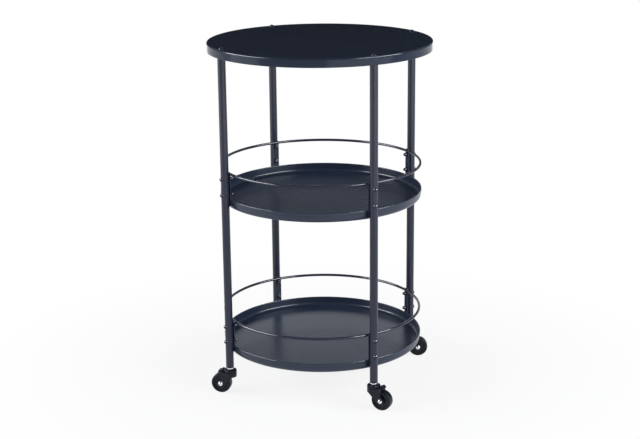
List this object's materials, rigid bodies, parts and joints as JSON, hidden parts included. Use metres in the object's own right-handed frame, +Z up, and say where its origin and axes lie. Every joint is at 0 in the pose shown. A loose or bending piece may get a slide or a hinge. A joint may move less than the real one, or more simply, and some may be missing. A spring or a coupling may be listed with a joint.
{
  "type": "serving cart",
  "caption": "Round tiered serving cart: a flat skirted top, pan trays with wire guard rails, straight tube legs and small swivel casters with brakes at the front, for carrying food and drinks.",
  "frame": {"origin": "on the floor, under the centre of the round top", "axes": "+Z up; -Y is the front, where the braked casters are; +X to the right seen from the front"},
  "size_m": [0.42, 0.42, 0.663],
  "materials": {
    "coated_steel": "semi-gloss blue-black powder coat on pressed sheet",
    "coated_tube": "semi-gloss blue-black powder coat on round tube",
    "coated_wire": "semi-gloss blue-black powder coat on drawn wire",
    "coated_strip": "semi-gloss blue-black powder coat on flat strip",
    "black_screws": "black plated steel, polished heads",
    "steel_nuts": "black plated steel, polished domes",
    "plug_steel": "plain turned steel, out of sight",
    "zinc": "bright zinc plate",
    "black_nylon": "fine moulded black nylon",
    "wheel_plastic": "smooth moulded black plastic",
    "tread": "smooth black tread"
  },
  "bodies": {
    "frame": {"top_panel": "coated_steel", "top_screws": "black_screws", "middle_tray": "coated_steel", "middle_rail": "coated_wire", "middle_screws": "black_screws", "middle_nuts": "steel_nuts", "middle_bracket_back_right": "coated_strip", "middle_bracket_back_left": "coated_strip", "middle_bracket_front_left": "coated_strip", "middle_bracket_front_right": "coated_strip", "lower_tray": "coated_steel", "lower_rail": "coated_wire", "lower_screws": "black_screws", "lower_nuts": "steel_nuts", "lower_bracket_back_right": "coated_strip", "lower_bracket_back_left": "coated_strip", "lower_bracket_front_left": "coated_strip", "lower_bracket_front_right": "coated_strip", "leg_back_right": "coated_tube", "leg_plug_back_right": "plug_steel", "caster_socket_back_right": "black_nylon", "caster_stem_back_right": "zinc", "swivel_cap_back_right": "black_nylon", "leg_back_left": "coated_tube", "leg_plug_back_left": "plug_steel", "caster_socket_back_left": "black_nylon", "caster_stem_back_left": "zinc", "swivel_cap_back_left": "black_nylon", "leg_front_left": "coated_tube", "leg_plug_front_left": "plug_steel", "caster_socket_front_left": "black_nylon", "caster_stem_front_left": "zinc", "swivel_cap_front_left": "black_nylon", "leg_front_right": "coated_tube", "leg_plug_front_right": "plug_steel", "caster_socket_front_right": "black_nylon", "caster_stem_front_right": "zinc", "swivel_cap_front_right": "black_nylon"},
    "fork_back_right": {"fork_back_right": "black_nylon", "axle_back_right": "zinc"},
    "wheel_back_right": {"wheel_back_right": "wheel_plastic", "tyre_back_right": "tread"},
    "fork_back_left": {"fork_back_left": "black_nylon", "axle_back_left": "zinc"},
    "wheel_back_left": {"wheel_back_left": "wheel_plastic", "tyre_back_left": "tread"},
    "fork_front_left": {"fork_front_left": "black_nylon", "axle_front_left": "zinc", "brake_pin_front_left": "black_screws"},
    "wheel_front_left": {"wheel_front_left": "wheel_plastic", "tyre_front_left": "tread"},
    "brake_front_left": {"brake_pedal_front_left": "black_nylon"},
    "fork_front_right": {"fork_front_right": "black_nylon", "axle_front_right": "zinc", "brake_pin_front_right": "black_screws"},
    "wheel_front_right": {"wheel_front_right": "wheel_plastic", "tyre_front_right": "tread"},
    "brake_front_right": {"brake_pedal_front_right": "black_nylon"}
  },
  "joints": [
    {"name": "swivel_back_right", "type": "hinge", "parent": "frame", "child": "fork_back_right", "pos_m": [0.14135, 0.14135, 0.0417], "axis": [0, 0, 1], "continuous": true},
    {"name": "roll_back_right", "type": "hinge", "parent": "fork_back_right", "child": "wheel_back_right", "pos_m": [0.15777, 0.14575, 0.019], "axis": [-0.2588, 0.9659, 0], "continuous": true},
    {"name": "swivel_back_left", "type": "hinge", "parent": "frame", "child": "fork_back_left", "pos_m": [-0.14135, 0.14135, 0.0417], "axis": [0, 0, 1], "continuous": true},
    {"name": "roll_back_left", "type": "hinge", "parent": "fork_back_left", "child": "wheel_back_left", "pos_m": [-0.15733, 0.14716, 0.019], "axis": [-0.342, -0.9397, 0], "continuous": true},
    {"name": "swivel_front_left", "type": "hinge", "parent": "frame", "child": "fork_front_left", "pos_m": [-0.14135, -0.14135, 0.0417], "axis": [0, 0, 1], "continuous": true},
    {"name": "roll_front_left", "type": "hinge", "parent": "fork_front_left", "child": "wheel_front_left", "pos_m": [-0.15833, -0.14224, 0.019], "axis": [0.0523, -0.9986, 0], "continuous": true},
    {"name": "press_front_left", "type": "hinge", "parent": "fork_front_left", "child": "brake_front_left", "pos_m": [-0.15736, -0.14219, 0.0415], "axis": [0.0523, -0.9986, 0], "range_deg": [0, 34]},
    {"name": "swivel_front_right", "type": "hinge", "parent": "frame", "child": "fork_front_right", "pos_m": [0.14135, -0.14135, 0.0417], "axis": [0, 0, 1], "continuous": true},
    {"name": "roll_front_right", "type": "hinge", "parent": "fork_front_right", "child": "wheel_front_right", "pos_m": [0.15809, -0.1443, 0.019], "axis": [0.1736, 0.9848, 0], "continuous": true},
    {"name": "press_front_right", "type": "hinge", "parent": "fork_front_right", "child": "brake_front_right", "pos_m": [0.15714, -0.14413, 0.0415], "axis": [0.1736, 0.9848, 0], "range_deg": [0, 34]}
  ]
}
